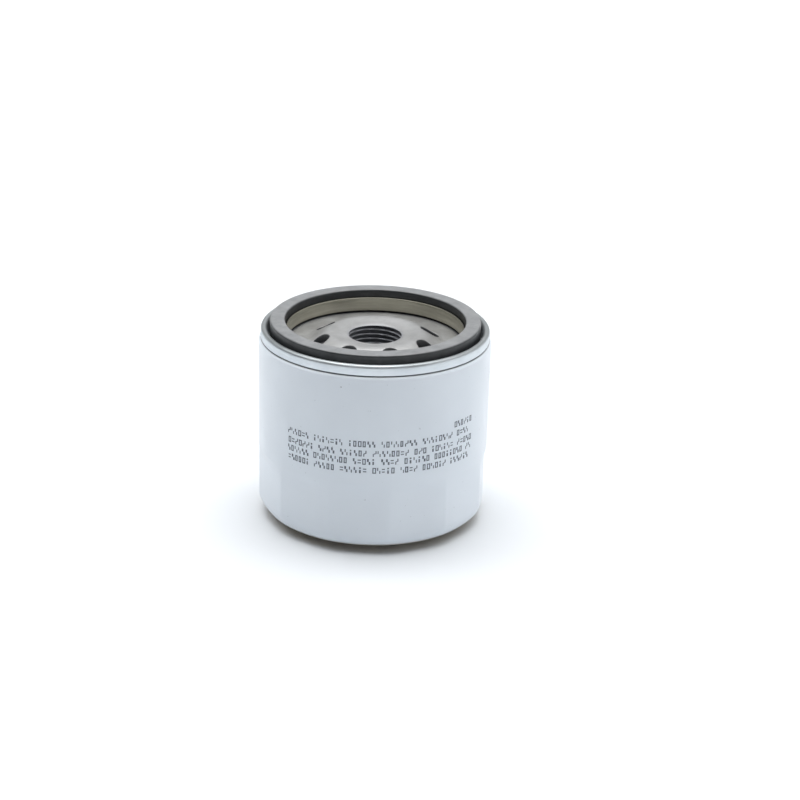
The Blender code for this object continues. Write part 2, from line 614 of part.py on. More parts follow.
def make_bypass_cage(mat, parent):
    """The cage that the bypass spring pushes against, with windows for the oil."""
    bore = POPPET_STEM + SLIDE_GAP
    profile = [
        (SEAT_RADIUS, CAGE_FOOT), (SEAT_RADIUS, CAGE_FOOT + CAGE_WALL), (CAGE_OUTER, CAGE_FOOT + CAGE_WALL),
        (CAGE_OUTER, CAGE_TOP), (bore, CAGE_TOP), (bore, CAGE_UNDER), (CAGE_INNER, CAGE_UNDER),
        (CAGE_INNER, CAGE_FOOT),
    ]
    cage = turned("bypass_cage", profile, mat, parent, SMALL_SEGMENTS)
    work = bmesh.new()
    middle = (CAGE_FOOT + CAGE_WALL + CAGE_UNDER) / 2
    for index in range(CAGE_WINDOWS):
        turn = Matrix.Rotation(math.tau * index / CAGE_WINDOWS, 4, "Z")
        size = Matrix.Diagonal((8 * CAGE_WALL, CAGE_WINDOW_WIDTH, CAGE_WINDOW_HEIGHT, 1.0))
        bmesh.ops.create_cube(work, size=1.0,
                              matrix=turn @ Matrix.Translation((CAGE_INNER, 0.0, middle)) @ size)
    cut(cage, "cage_windows", work)


def make_bypass_poppet(mat, seal_mat, parent):
    """The poppet with its guide stem, and the rubber washer under it."""
    poppet = [
        (0.0, SEAL_BOTTOM), (POPPET_NOSE, SEAL_BOTTOM), (POPPET_NOSE, POPPET_BOTTOM),
        (SEAL_RADIUS, POPPET_BOTTOM), (SEAL_RADIUS, POPPET_TOP), (POPPET_STEM, POPPET_TOP),
        (POPPET_STEM, CAGE_TOP + STEM_PROUD), (0.0, CAGE_TOP + STEM_PROUD),
    ]
    turned("bypass_poppet", poppet, mat, parent, SMALL_SEGMENTS)
    bore = POPPET_NOSE + GAP
    seal = [(bore, SEAL_BOTTOM), (SEAL_RADIUS, SEAL_BOTTOM), (SEAL_RADIUS, SEAL_TOP), (bore, SEAL_TOP)]
    turned("bypass_seal", seal, seal_mat, parent, SMALL_SEGMENTS)


def main():
    clear_scene()
    paint = material("can_paint", (0.62, 0.66, 0.71), 0.3, 0.2)
    lid_steel = material("lid_steel", (0.55, 0.57, 0.56), 0.35, 0.9)
    plate_steel = material("plate_steel", (0.50, 0.50, 0.49), 0.4, 0.9)
    pressed_steel = material("pressed_steel", (0.56, 0.57, 0.58), 0.35, 0.9)
    spring_steel = material("spring_steel", (0.35, 0.36, 0.37), 0.3, 1.0)
    gasket_rubber = material("gasket_rubber", (0.035, 0.04, 0.045), 0.55)
    valve_rubber = material("valve_rubber", (0.03, 0.03, 0.035), 0.6)
    compound = material("seam_compound", (0.35, 0.30, 0.22), 0.6)
    paper = material("filter_paper", (0.78, 0.66, 0.42), 0.85)
    adhesive = material("adhesive", (0.25, 0.22, 0.18), 0.5)

    can = axis_empty("can_axis", 0.0)
    valve = axis_empty("drainback_lift_axis", VALVE_TOP, can)
    element = axis_empty("element_float_axis", BOTTOM_CAP_UNDER, can)
    poppet = axis_empty("bypass_lift_axis", SEAL_BOTTOM, element)

    make_shell(paint, can)
    make_lid(lid_steel, can)
    make_seam_compound(compound, can)
    make_gasket(gasket_rubber, can)
    make_base_plate(plate_steel, can)
    make_drainback_valve(valve_rubber, valve)
    make_caps(pressed_steel, element)
    make_adhesive(adhesive, element)
    make_center_tube(pressed_steel, element)
    make_media(paper, pressed_steel, element)
    make_element_spring(spring_steel, pressed_steel, can, element)
    make_bypass_seat(pressed_steel, element)
    make_bypass_cage(pressed_steel, element)
    make_bypass_poppet(pressed_steel, valve_rubber, poppet)
    coil("bypass_spring", BYPASS_COIL_BOTTOM, BYPASS_COIL_TOP, BYPASS_WIRE, BYPASS_COIL_RADIUS,
         BYPASS_COIL_RADIUS, BYPASS_TURNS, spring_steel, element)


main()
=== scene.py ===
"""Looks of a short spin-on oil filter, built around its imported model. Lengths are in metres."""

import json
import math
import random

import bmesh
import bpy
import numpy as np
from mathutils import Matrix, Vector

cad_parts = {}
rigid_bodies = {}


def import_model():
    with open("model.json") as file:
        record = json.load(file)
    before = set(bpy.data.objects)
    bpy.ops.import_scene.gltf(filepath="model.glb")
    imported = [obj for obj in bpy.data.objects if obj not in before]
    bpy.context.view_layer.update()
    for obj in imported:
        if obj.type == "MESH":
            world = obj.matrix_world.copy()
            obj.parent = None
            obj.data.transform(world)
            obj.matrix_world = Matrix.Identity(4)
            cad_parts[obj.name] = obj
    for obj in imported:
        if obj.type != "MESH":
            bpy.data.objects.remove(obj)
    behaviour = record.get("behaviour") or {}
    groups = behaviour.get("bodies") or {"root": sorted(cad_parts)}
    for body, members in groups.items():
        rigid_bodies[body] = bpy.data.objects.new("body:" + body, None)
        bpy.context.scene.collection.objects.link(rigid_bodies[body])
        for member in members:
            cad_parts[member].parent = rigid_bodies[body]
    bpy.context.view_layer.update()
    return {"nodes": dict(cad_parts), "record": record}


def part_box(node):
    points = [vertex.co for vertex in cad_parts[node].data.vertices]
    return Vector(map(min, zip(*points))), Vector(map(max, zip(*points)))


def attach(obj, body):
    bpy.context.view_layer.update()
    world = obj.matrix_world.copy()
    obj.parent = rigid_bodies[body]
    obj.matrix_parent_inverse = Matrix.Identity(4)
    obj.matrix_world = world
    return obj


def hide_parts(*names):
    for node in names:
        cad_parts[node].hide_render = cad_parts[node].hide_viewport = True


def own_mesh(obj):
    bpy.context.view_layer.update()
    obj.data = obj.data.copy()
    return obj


# Camera, at the photograph's viewing angle
CAMERA_DISTANCE = 0.70
CAMERA_ELEVATION = math.radians(22.15)
CAMERA_ROLL = math.radians(1.28)
CAMERA_LENS = 94.67
CAMERA_SHIFT = (0.0332, 0.0161)
CAMERA_CLIP = 20.0
SENSOR_WIDTH = 36.0
AIM_BELOW_GASKET = 0.0333                   # from the top of the gasket to the point that the camera looks at

# Can
SHELL_WALL = 0.0005
CORNER_RADIUS = 0.006
END_RISE = 0.0018                           # closed end's flat rest up to the start of the rounded corner
END_SLOPE = math.radians(9)
END_BLEND = 0.0015                          # half the width of the bend between the flat rest and the slope
SHOULDER_RADIUS = 0.00145
FLUTE_COUNT = 12
FLUTE_DEPTH = 0.0008
FLUTE_TOP = 0.0253
FLUTE_FADE = 0.004
FLUTE_PHASE = 9.0                           # a ridge between two flutes, in degrees from the front
SHELL_SEGMENTS = 30 * FLUTE_COUNT

# Seaming lid
LID_WALL = 0.00055
LID_BEND = 0.0009
SEAM_HEIGHT = 0.0034
SEAM_LIP_ROUND = 0.00018
LIP_DEPTH = 0.0027
GAP = 0.0003

# Gasket
GASKET_EDGE = 0.0007

# Print. A row is its distance below the top of the gasket and the angles, in degrees from the front, where it
# starts and ends. The speck of ink is its distance below, its angle and its size.
PRINT_ROWS = ((0.0254, 43.0, 55.5), (0.0286, -45.4, 55.0), (0.0318, -45.0, 54.6), (0.0346, -45.4, 55.0),
              (0.0376, -45.0, 54.0))
MARK_HEIGHT = 0.0020
MARK_PITCH = 0.0015
MARK_STROKE = 0.00034
MARK_WIDTHS = (0.62, 0.80)                  # share of the pitch that a mark takes
WORD_LENGTHS = (3, 8)
INK_THICKNESS = 0.00003
INK_SINK = 0.00002                          # how deep the ink's slabs go into the paint
SPECK = (0.0099, -15.9, 0.0003)

# Where one tone or painted shade fades into the next, as two distances from the axis or two heights
# The can's neck under the seam gets painted shade inside this radius and above this height.
CAN_CREVICE_RADIUS = (0.0373, 0.0377)
CAN_CREVICE_HEIGHT = (0.0605, 0.0610)
# Below this height the can's faces that point down get a painted warm shade.
CAN_UNDERSIDE = (0.0025, 0.0040)
# Inside this radius the lid has its warm film, with painted shade where it faces up.
LID_FILM = (0.0300, 0.0315)
# On the plate these mark where painted shade starts: on the outer annulus, in the bore and at the rim against
# the lid.
HUB_FADE = (0.0150, 0.0215)
BORE_FADE = (0.0096, 0.0098)
BORE_MOUTH = (0.0005, 0.0001)               # below the mouth
PLATE_CREVICE = (0.0282, 0.0287)

# Base plate
PLATE_THICKNESS = 0.0026
HUB_RISE = 0.0035
HUB_DISH = 0.0007
HUB_STEPS = 24
DISH_STEPS = 12
THREAD_MAJOR = 0.0095
THREAD_DEPTH = 0.0008
THREAD_PITCH = 0.0254 / 16
THREAD_ROWS = 14                            # rows of points in each pitch
THREAD_ROOT = 1.55                          # width of the groove's flat root, against its flanks
THREAD_FLANK = 4.0                          # steepness of its flanks
THREAD_RUN_OUT = 0.6                        # part of a pitch in which it fades out at both ends
COLLAR_RADIUS = 0.0122
COLLAR_FILLET = 0.0012
HUB_CREST = 0.0150
HUB_FOOT = 0.0232
MOUTH_ROUND = 0.0004
MOUTH_LIP = ((0.0002, 0.00003), (0.0, 0.0001))      # points out from the thread and below the mouth
MOUTH_CHAMFER = 0.0004                      # from the mouth down to the thread's first row
PLATE_EDGE = 0.0003
INLET_COUNT = 8
INLET_RADIUS = 0.0030
INLET_PITCH_RADIUS = 0.0187
INLET_PHASE = 16.6                          # one hole's place, in degrees from the front
INLET_ROUND = 0.0002
INLET_SIDES = 40
PLATE_SEGMENTS = 192

# Anti-drainback valve
VALVE_WALL = 0.0012
VALVE_SKIRT = 0.001
VALVE_LIP = 0.0016                          # width of the flat lip that meets the plate
VALVE_LIP_FALL = (0.0005, 0.0001)           # inwards and down, where the skirt's slope starts
VALVE_KNEE = 0.0004                         # from the sleeve out to where the skirt starts
VALVE_SLEEVE_RISE = 0.0024                  # height of the sleeve
VALVE_EDGE = 0.0003

# Element: end caps, tube and paper
SHEET = 0.0005
TINY_ROUND = 0.0001                         # rounding of cut edges
CAP_RIM = 0.003
CAP_BEND = 0.0009
TUBE_HOLE_RADIUS = 0.0019
TUBE_HOLE_COLUMNS = 8
TUBE_HOLE_ROWS = 4
TUBE_CUT_DEPTH = 0.005
MEDIA_GAP = 0.0005
PLEAT_COUNT = 36
PLEAT_STEPS = 6                             # straight pieces in the round of each fold
PAPER_THICKNESS = 0.0006
PLEAT_HALF = (0.0006, 0.0005)               # half the width of an outer and of an inner fold

# Bypass valve
SEAT_WALL = 0.0006
SEAT_LIP_HEIGHT = 0.0006
SEAT_LIP_WIDTH = 0.0008
SPIGOT_OFFSET = 0.002
SPIGOT_WALL = 0.0007
CAGE_SIDE_GAP = 0.0015
CAGE_BEND = 0.001
CAGE_WINDOWS = 4
CAGE_WINDOW = (0.006, 0.006)
CAGE_WINDOW_ROUND = 0.0008
CAGE_CUT_DEPTH = 0.004
POPPET_NOSE = 0.0015
POPPET_DISC = 0.0008
POPPET_STEM = 0.0013

# Springs: radius of the wire, turns and the coil's radius at its two ends, and how far the joints press them
ELEMENT_SPRING = (0.0009, 3.0, (0.015, 0.013))
BYPASS_SPRING = (0.00045, 4.5, (0.0042, 0.0042))
ELEMENT_TRAVEL = 0.003
BYPASS_TRAVEL = 0.003
WIRE_SIDES = 12
TURN_STEPS = 36

# Light: the sky's brightness everywhere, what it gains towards the plus end of an axis, and each softbox's
# place, size and power
SKY_BASE = 0.084
SKY_GAIN = (("Y", 0.64), ("X", 0.31))
SOFTBOXES = (("overhead", (0.0, 0.0, 1.3), (1.0, 1.0), 15.5), ("left_box", (-0.7, 0.2, 1.1), (0.8, 0.8), 5.3),
             ("right_box", (0.7, 0.2, 1.1), (0.8, 0.8), 3.5), ("back_box", (0.0, 0.7, 1.1), (1.0, 1.0), 1.6),
             ("low_box", (0.9, -0.3, 0.2), (0.4, 0.3), 0.35))
FLOOR_LIGHT_PLACE = (0.1, 1.3, 1.0)         # above the floor far behind, which it keeps white
FLOOR_LIGHT_TARGET = (0.1, 1.2, 0.0)
FLOOR_LIGHT_SIZE = (1.4, 0.7)
FLOOR_LIGHT_POWER = 4.5
FLOOR_LIGHT_SPREAD = math.radians(88)       # narrow enough to miss the filter

LIGHT_TARGET = (0.0, 0.0, 0.03)
FLOOR_HALF = 3.0

RING_SEGMENTS = 288
BEAD_SEGMENTS = 192
TUBE_SEGMENTS = 144
SMALL_SEGMENTS = 128
POPPET_SEGMENTS = 96
SHARP = math.radians(38)
WELD = 1e-8


# ---------------------------------------------------------------- shapes

def smooth(share):
    """A smooth step from 0 to 1."""
    share = min(1.0, max(0.0, share))
    return share * share * (3.0 - 2.0 * share)


def arc(center_r, center_z, radius, start, end, steps):
    """Points along an arc in the radius-height plane, both ends included. Angles are in degrees."""
    points = []
    for step in range(steps + 1):
        angle = math.radians(start + (end - start) * step / steps)
        points.append((center_r + radius * math.cos(angle), center_z + radius * math.sin(angle)))
    return points


def link(name, mesh):
    """A new object that shows the mesh."""
    obj = bpy.data.objects.new(name, mesh)
    bpy.context.scene.collection.objects.link(obj)
    return obj


def shade(mesh, sharp=SHARP):
    """Smooth faces, with the edges above the angle left sharp."""
    mesh.shade_smooth()
    mesh.set_sharp_from_angle(angle=sharp)


def mesh_from(work, name):
    """A mesh made from a bmesh, which is freed."""
    mesh = bpy.data.meshes.new(name)
    work.to_mesh(mesh)
    work.free()
    return mesh


def closed_mesh(name, points, faces):
    """A mesh made from points and faces, with doubled points welded and the faces pointing out."""
    raw = bpy.data.meshes.new(name)
    raw.from_pydata(points, [], faces)
    work = bmesh.new()
    work.from_mesh(raw)
    bpy.data.meshes.remove(raw)
    bmesh.ops.remove_doubles(work, verts=work.verts, dist=WELD)
    bmesh.ops.recalc_face_normals(work, faces=work.faces)
    return mesh_from(work, name)


def lathe_mesh(name, profile, segments, phase=0.0):
    """A closed solid turned from a closed profile of (radius, height) points, with its faces pointing out."""
    count = len(profile)
    radius = np.array([r for r, _ in profile])
    height = np.array([z for _, z in profile])
    turn = np.radians(phase - 90.0) + np.arange(segments) * math.tau / segments
    verts = np.stack([np.outer(np.cos(turn), radius), np.outer(np.sin(turn), radius),
                      np.outer(np.ones(segments), height)], axis=2).reshape(-1, 3)
    faces = []
    for step in range(segments):
        here = step * count
        there = (step + 1) % segments * count
        for index in range(count):
            after = (index + 1) % count
            if radius[index] > 0.0 or radius[after] > 0.0:
                faces.append((here + index, there + index, there + after, here + after))
    return closed_mesh(name, verts.tolist(), faces)


def lathe(name, profile, segments=RING_SEGMENTS, phase=0.0):
    """An object turned from a closed profile."""
    mesh = lathe_mesh(name, profile, segments, phase)
    shade(mesh)
    return link(name, mesh)


def move_points(mesh, change):
    """Moves each point of the mesh to change(points), an (n, 3) array."""
    points = np.empty(len(mesh.vertices) * 3)
    mesh.vertices.foreach_get("co", points)
    mesh.vertices.foreach_set("co", change(points.reshape(-1, 3)).reshape(-1))
    mesh.update()


def apply_modifiers(obj):
    """Replaces the object's mesh by what its modifiers make of it."""
    graph = bpy.context.evaluated_depsgraph_get()
    mesh = bpy.data.meshes.new_from_object(obj.evaluated_get(graph))
    obj.modifiers.clear()
    obj.data = mesh
    return obj


def subtract(obj, cutter):
    """Cuts the cutter's shape out of the object and removes the cutter."""
    boolean = obj.modifiers.new("cut", "BOOLEAN")
    boolean.operation = "DIFFERENCE"
    boolean.object = cutter
    boolean.solver = "EXACT"
    apply_modifiers(obj)
    bpy.data.objects.remove(cutter)
    shade(obj.data)
    return obj


def reach(node):
    """Smallest and largest distance of a CAD node's points from the axis."""
    spans = [math.hypot(v.co.x, v.co.y) for v in frame["nodes"][node].data.vertices]
    return min(spans), max(spans)


def place(obj, body, node, mat):
    """Makes obj stand for a CAD node: it joins the given body and takes the finished material, and the node
    is hidden.
    """
    obj.data.materials.clear()
    obj.data.materials.append(mat)
    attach(obj, body)
    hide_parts(node)
    return obj


# ---------------------------------------------------------------- materials

def math_node(tree, operation, first, second):
    """What a Math node gives for two operands, each a number or another node's output."""
    made = tree.nodes.new("ShaderNodeMath")
    made.operation = operation
    for socket, value in ((0, first), (1, second)):
        if isinstance(value, (int, float)):
            made.inputs[socket].default_value = value
        else:
            tree.links.new(value, made.inputs[socket])
    return made.outputs["Value"]


class Surface:
    """A Principled material with helpers for the node patterns that all the finishes share."""

    def __init__(self, name, color, roughness, metallic=0.0, **sockets):
        self.mat = bpy.data.materials.new(name)
        self.mat.use_nodes = True
        self.tree = self.mat.node_tree
        self.shader = self.tree.nodes["Principled BSDF"]
        self.shader.inputs["Base Color"].default_value = (*color, 1.0)
        self.shader.inputs["Roughness"].default_value = roughness
        self.shader.inputs["Metallic"].default_value = metallic
        for socket, value in sockets.items():
            self.shader.inputs[socket.replace("_", " ")].default_value = value
        source = self.node("ShaderNodeTexCoord")
        self.coordinates = source.outputs["Object"]
        self.normals = source.outputs["Normal"]
        self.height = None

    def node(self, kind, **settings):
        made = self.tree.nodes.new(kind)
        for name, value in settings.items():
            setattr(made, name, value)
        return made

    def wire(self, source, target):
        self.tree.links.new(source, target)

    def noise(self, scale, detail=3.0, rough=0.5, stretch=(1.0, 1.0, 1.0)):
        """Noise in the object's own space. Scale is in waves per metre."""
        mapping = self.node("ShaderNodeMapping")
        mapping.inputs["Scale"].default_value = stretch
        self.wire(self.coordinates, mapping.inputs["Vector"])
        made = self.node("ShaderNodeTexNoise")
        made.inputs["Scale"].default_value = scale
        made.inputs["Detail"].default_value = detail
        made.inputs["Roughness"].default_value = rough
        self.wire(mapping.outputs["Vector"], made.inputs["Vector"])
        return made.outputs["Fac"]

    def spread(self, source, low, high, start=0.3, end=0.7):
        """Maps a 0 to 1 value to low to high, between start and end."""
        made = self.node("ShaderNodeMapRange")
        for socket, value in (("From Min", start), ("From Max", end), ("To Min", low), ("To Max", high)):
            made.inputs[socket].default_value = value
        self.wire(source, made.inputs["Value"])
        return made.outputs["Result"]

    def mix(self, factor, first, second):
        """A colour between two colours or colour outputs."""
        made = self.node("ShaderNodeMix", data_type="RGBA")
        self.wire(factor, made.inputs["Factor"])
        for socket, value in ((6, first), (7, second)):
            if isinstance(value, tuple):
                made.inputs[socket].default_value = (*value, 1.0)
            else:
                self.wire(value, made.inputs[socket])
        return made.outputs[2]

    def math(self, operation, first, second):
        return math_node(self.tree, operation, first, second)

    def radius(self):
        """Distance from the filter's axis, and height."""
        split = self.node("ShaderNodeSeparateXYZ")
        self.wire(self.coordinates, split.inputs["Vector"])
        across = self.math("POWER", split.outputs["X"], 2.0)
        along = self.math("POWER", split.outputs["Y"], 2.0)
        return self.math("SQRT", self.math("ADD", across, along), 0.0), split.outputs["Z"]

    def facing(self, low, high, start, end):
        """Maps how much the surface faces up or down, from 0 to 1, to low to high."""
        split = self.node("ShaderNodeSeparateXYZ")
        self.wire(self.normals, split.inputs["Vector"])
        return self.spread(self.math("ABSOLUTE", split.outputs["Z"], 0.0), low, high, start, end)

    def color(self, source):
        self.wire(source, self.shader.inputs["Base Color"])

    def roughness(self, source):
        self.wire(source, self.shader.inputs["Roughness"])

    def bump(self, source, distance, strength=1.0):
        """Adds a fine relief of this depth, on top of any that is already there."""
        made = self.node("ShaderNodeBump")
        made.inputs["Distance"].default_value = distance
        made.inputs["Strength"].default_value = strength
        self.wire(source, made.inputs["Height"])
        if self.height is not None:
            self.wire(self.height, made.inputs["Normal"])
        self.height = made.outputs["Normal"]
        self.wire(self.height, self.shader.inputs["Normal"])


def can_paint():
    """Pale silver-grey baked paint: faint orange peel, cloudy tone, specks, painted shade on the neck under
    the seam and a painted warm shade on the underside.
    """
    s = Surface("can_paint", (0.78, 0.84, 0.90), 0.32, 0.0, IOR=1.5, Coat_Weight=0.25, Coat_Roughness=0.12)
    cloud = s.spread(s.noise(45.0, 2.0), 0.0, 1.0)
    base = s.mix(cloud, (0.76, 0.82, 0.885), (0.80, 0.86, 0.925))
    speck = s.spread(s.noise(900.0, 1.0), 0.0, 0.35, 0.76, 0.82)
    radius, height = s.radius()
    # Painted shade: the neck under the seam's rolled edge turns dark grey.
    crevice_shade = s.math("MULTIPLY", s.spread(radius, 1.0, 0.0, *CAN_CREVICE_RADIUS),
                     s.spread(height, 0.0, 1.0, *CAN_CREVICE_HEIGHT))
    specked = s.mix(speck, base, (0.34, 0.37, 0.41))
    # Painted warm shade: the faces low on the can that point down get a warm, darker colour, for the warm
    # tone of the shadow under the can.
    under = s.math("MULTIPLY", s.facing(0.0, 1.0, 0.6, 0.95), s.spread(height, 1.0, 0.0, *CAN_UNDERSIDE))
    s.color(s.mix(crevice_shade, s.mix(under, specked, (0.60, 0.52, 0.40)), (0.20, 0.22, 0.24)))
    s.roughness(s.spread(s.noise(160.0, 3.0), 0.28, 0.38))
    s.bump(s.noise(1300.0, 2.0), 0.000012, 0.5)
    s.bump(s.noise(60.0, 1.0), 0.00006, 0.4)
    return s.mat


def lid_steel():
    """Tinned sheet: painted shade on the seam's crown, and a warm oily film on the wall inside the gasket,
    with painted shade where that wall faces up.
    """
    s = Surface("lid_steel", (0.55, 0.58, 0.59), 0.38, 0.8)
    radius, _ = s.radius()
    film = s.spread(radius, 1.0, 0.0, *LID_FILM)
    cloud = s.spread(s.noise(70.0, 3.0), 0.0, 1.0)
    side = s.mix(cloud, (0.64, 0.69, 0.73), (0.76, 0.81, 0.85))
    # Painted shade: the seam's faces that point up get this darker colour.
    crown = s.mix(cloud, (0.265, 0.29, 0.30), (0.38, 0.405, 0.42))
    seam = s.mix(s.facing(0.0, 1.0, 0.25, 0.75), side, crown)
    drawn = s.spread(s.noise(900.0, 3.0, 0.6, (0.06, 0.06, 1.0)), 0.0, 1.0)
    warm = s.mix(drawn, (0.39, 0.375, 0.305), (0.53, 0.515, 0.435))
    # Painted shade: where the wall inside the gasket faces up, at its lip and its bends, it turns dark.
    wall = s.mix(s.facing(0.0, 1.0, 0.35, 0.8), warm, (0.16, 0.155, 0.125))
    s.color(s.mix(film, seam, wall))
    s.roughness(s.spread(s.noise(260.0, 4.0, 0.6), 0.32, 0.48))
    s.bump(s.noise(900.0, 3.0), 0.00001, 0.5)
    return s.mat


def plate_steel(mouth):
    """Pressed steel plate: matt grey and mottled, with painted shade on the outer annulus, in the thread, in
    the holes and where the plate meets the lid at its rim.
    """
    s = Surface("plate_steel", (0.40, 0.40, 0.39), 0.46, 0.5)
    radius, height = s.radius()
    hub = s.spread(radius, 1.0, 0.0, *HUB_FADE)
    cloud = s.spread(s.noise(120.0, 4.0, 0.6), 0.0, 1.0)
    # Painted shade: the outer annulus, next to the lid's wall and the gasket, gets a darker grey than the
    # hub.
    shaded_annulus = s.mix(cloud, (0.25, 0.25, 0.245), (0.37, 0.375, 0.37))
    bright = s.mix(cloud, (0.29, 0.295, 0.295), (0.375, 0.38, 0.385))
    # Painted shade inside the threaded bore, below the mouth.
    bore = s.math("MULTIPLY", s.spread(radius, 1.0, 0.0, *BORE_FADE),
                  s.spread(height, 1.0, 0.0, *(mouth - drop for drop in BORE_MOUTH)))
    # Painted shade on the faces that stand upright, the walls of the inlet holes.
    wall = s.facing(1.0, 0.0, 0.35, 0.75)
    # Painted shade at the plate's rim, where it meets the lid.
    crevice_shade = s.spread(radius, 0.0, 1.0, *PLATE_CREVICE)
    holes = s.mix(s.math("MAXIMUM", wall, crevice_shade), s.mix(hub, shaded_annulus, bright), (0.15, 0.157, 0.17))
    s.color(s.mix(bore, holes, (0.27, 0.28, 0.305)))
    s.roughness(s.spread(s.noise(320.0, 4.0, 0.65), 0.36, 0.55))
    s.bump(s.noise(700.0, 4.0, 0.6), 0.00002, 0.5)
    return s.mat


def gasket_rubber():
    """Black moulded rubber; the faces that point up or down are lighter, partly dust and partly painted
    sheen.
    """
    s = Surface("gasket_rubber", (0.035, 0.038, 0.042), 0.36, 0.0, IOR=1.55)
    cloud = s.spread(s.noise(240.0, 4.0, 0.6), 0.0, 1.0)
    black = s.mix(cloud, (0.016, 0.018, 0.020), (0.032, 0.035, 0.038))
    # Partly dust and partly painted sheen: the faces that point up or down get a light grey.
    dust_and_sheen = s.mix(cloud, (0.160, 0.167, 0.173), (0.232, 0.240, 0.250))
    s.color(s.mix(s.facing(0.0, 1.0, 0.45, 0.95), black, dust_and_sheen))
    s.roughness(s.spread(s.noise(420.0, 3.0), 0.30, 0.44))
    s.bump(s.noise(1500.0, 3.0), 0.00001, 0.5)
    return s.mat


def rubber_inside():
    """Black moulded rubber of the valves."""
    s = Surface("valve_rubber", (0.03, 0.03, 0.033), 0.5, 0.0)
    s.color(s.mix(s.spread(s.noise(300.0), 0.0, 1.0), (0.022, 0.022, 0.025), (0.045, 0.045, 0.05)))
    s.bump(s.noise(1200.0), 0.00001, 0.5)
    return s.mat


def steel_inside(name, low, high, rough, scale=150.0):
    """Thin pressed steel or drawn wire."""
    s = Surface(name, high, rough, 0.95)
    s.color(s.mix(s.spread(s.noise(scale, 4.0, 0.6), 0.0, 1.0), low, high))
    s.roughness(s.spread(s.noise(scale * 3.0, 3.0), rough - 0.06, rough + 0.08))
    s.bump(s.noise(scale * 6.0, 3.0), 0.00001, 0.4)
    return s.mat


def paper():
    """Resin-treated filter paper with visible fibres."""
    s = Surface("filter_paper", (0.78, 0.66, 0.42), 0.85, 0.0)
    fibre = s.spread(s.noise(1600.0, 5.0, 0.7, (1.0, 1.0, 0.25)), 0.0, 1.0)
    s.color(s.mix(fibre, (0.66, 0.53, 0.31), (0.82, 0.70, 0.46)))
    s.bump(fibre, 0.00005, 0.6)
    return s.mat


def soft_compound(name, low, high):
    """Cured sealing compound or adhesive."""
    s = Surface(name, high, 0.55, 0.0)
    s.color(s.mix(s.spread(s.noise(300.0, 3.0), 0.0, 1.0), low, high))
    s.bump(s.noise(500.0, 3.0), 0.00004, 0.6)
    return s.mat


def ink():
    """Dark blue-grey printing ink, worn thin in places."""
    s = Surface("print_ink", (0.08, 0.10, 0.14), 0.5, 0.0)
    worn = s.spread(s.noise(700.0, 3.0, 0.6), 0.0, 1.0)
    s.color(s.mix(worn, (0.05, 0.06, 0.085), (0.20, 0.225, 0.27)))
    return s.mat


# ---------------------------------------------------------------- pieces

def flute_depth(angle, height):
    """How far the can is pressed in, for arrays of angles from the front in degrees and heights."""
    pitch = 360.0 / FLUTE_COUNT
    across = ((angle - FLUTE_PHASE) % pitch) / pitch
    rise = np.clip((height - END_RISE) / CORNER_RADIUS, 0.0, 1.0)
    fade = np.clip((FLUTE_TOP - height) / FLUTE_FADE, 0.0, 1.0)
    fade = fade * fade * (3.0 - 2.0 * fade)
    return FLUTE_DEPTH * np.sin(math.pi * across) * rise * fade


def make_shell(mat):
    """The drawn can, fluted at its closed end."""
    _, shell_radius = reach("shell")
    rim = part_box("shell")[1].z
    neck = shell_radius - SHOULDER_RADIUS
    corner = shell_radius - CORNER_RADIUS
    seam_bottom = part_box("seaming_lid")[1].z - SEAM_HEIGHT
    shoulder = seam_bottom - GAP / 2 - SHOULDER_RADIUS

    def wall(offset):
        """The wall's surface, this far inside the outer one, from the bottom's centre to the rim."""
        radius = CORNER_RADIUS - offset
        low = END_RISE + CORNER_RADIUS - radius * math.cos(END_SLOPE)
        edge = corner + radius * math.sin(END_SLOPE) - (low - offset) / math.tan(END_SLOPE)
        points = [(0.0, offset)]
        for step in range(9):
            across = 2.0 * END_BLEND * step / 8
            points.append((edge - END_BLEND + across,
                           offset + math.tan(END_SLOPE) * across * across / (4.0 * END_BLEND)))
        points += arc(corner, END_RISE + CORNER_RADIUS, radius, math.degrees(END_SLOPE) - 90.0, 0.0, 12)
        low = END_RISE + CORNER_RADIUS
        rows = 16
        points += [(shell_radius - offset, low + (FLUTE_TOP - low) * (row + 1) / rows) for row in range(rows)]
        points += arc(neck, shoulder, SHOULDER_RADIUS - offset, 0.0, 90.0, 8)
        points.append((neck - offset, rim))
        return points

    profile = wall(0.0) + wall(SHELL_WALL)[::-1]
    mesh = lathe_mesh("can_shell", profile, SHELL_SEGMENTS, FLUTE_PHASE)

    def press(points):
        radius = np.hypot(points[:, 0], points[:, 1])
        angle = np.degrees(np.arctan2(points[:, 0], -points[:, 1]))
        depth = np.where(radius > corner, flute_depth(angle, points[:, 2]), 0.0)
        scale = 1.0 - depth / np.maximum(radius, 1e-6)
        points[:, :2] *= scale[:, None]
        return points

    move_points(mesh, press)
    shade(mesh)
    return place(link("can_shell", mesh), "can", "shell", mat)


